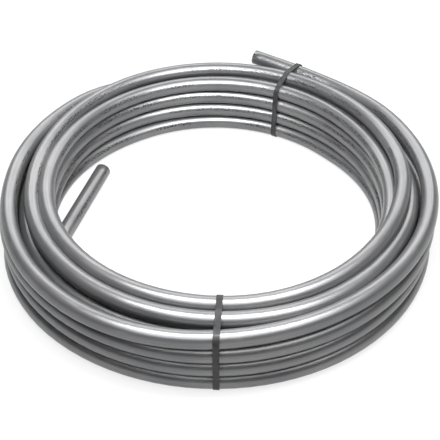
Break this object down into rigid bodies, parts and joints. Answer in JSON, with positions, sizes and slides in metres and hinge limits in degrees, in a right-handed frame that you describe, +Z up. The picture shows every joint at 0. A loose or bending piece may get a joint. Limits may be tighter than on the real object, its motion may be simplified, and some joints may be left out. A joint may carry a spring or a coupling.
{
  "type": "multilayer pipe coil",
  "caption": "Ring-shaped coil of silver-grey multilayer water pipe with two free open ends, held by two dark plastic straps.",
  "frame": {"origin": "centre of the coil's bounding box on the floor it lies on", "axes": "+Z up along the ring's axis; -Y is the front, where the pipe ends are on the left inside and at the back"},
  "size_m": [0.708, 0.7265, 0.1208],
  "materials": {
    "pipe": "satin silver-grey polyethylene outer layer",
    "strap": "black polypropylene strapping, slightly glossy"
  },
  "bodies": {
    "root": {"pipe": "pipe", "front_strap": "strap", "back_strap": "strap"}
  },
  "joints": []
}
